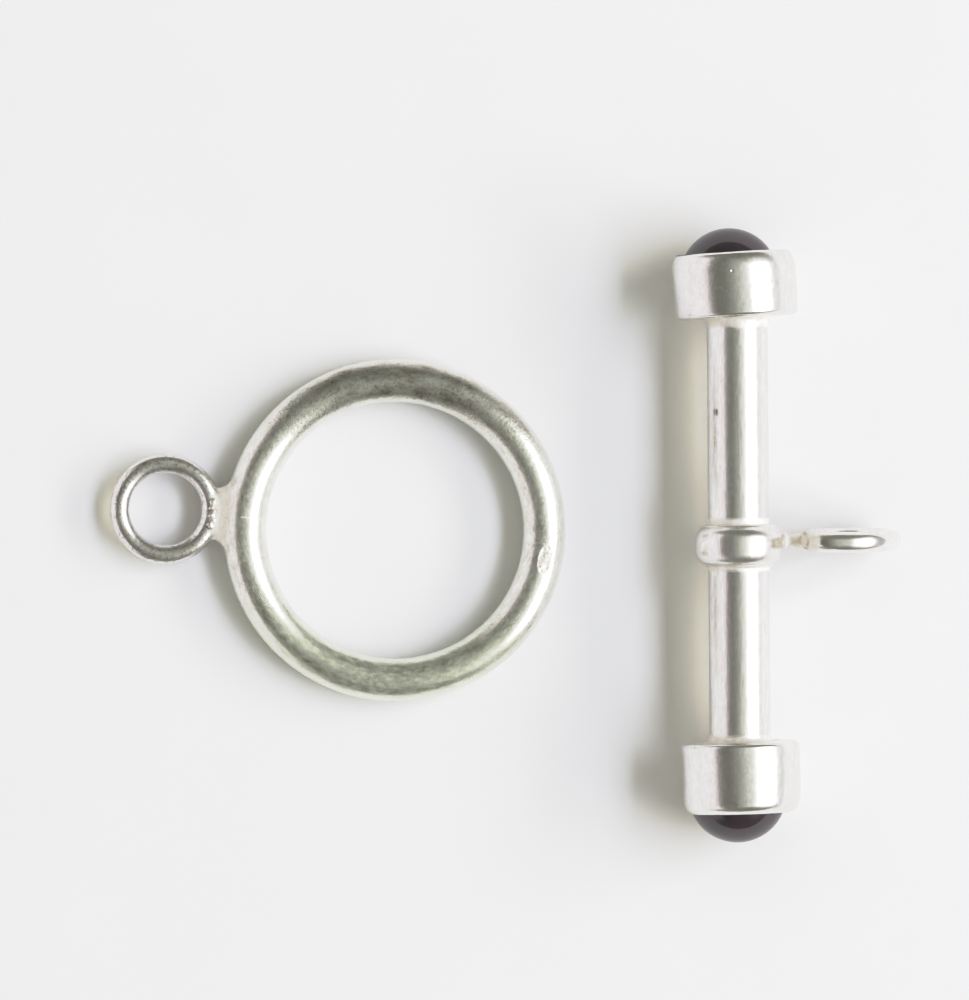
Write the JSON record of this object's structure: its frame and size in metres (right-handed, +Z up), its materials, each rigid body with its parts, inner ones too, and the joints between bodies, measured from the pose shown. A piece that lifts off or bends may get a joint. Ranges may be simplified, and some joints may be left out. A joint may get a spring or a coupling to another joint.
{
  "type": "toggle clasp",
  "caption": "Silver toggle clasp in its loose halves: a round wire ring with a small eye, and a round bar with a domed stone cupped at each end, a collar and an eye.",
  "frame": {"origin": "on the table, under the middle of the box round both halves", "axes": "+X runs from the ring half to the bar half, through both eyes' sides; +Y runs along the bar, towards its upper cup; +Z is up from the table they lie on"},
  "size_m": [0.0416, 0.0322, 0.0065],
  "materials": {
    "silver": "polished silver with fine wear scratches and rougher solder joints",
    "stone": "polished dark red stone, close to black"
  },
  "bodies": {
    "root": {"toggle_ring": "silver", "toggle_bar": "silver", "upper_stone": "stone", "lower_stone": "stone"}
  },
  "joints": []
}
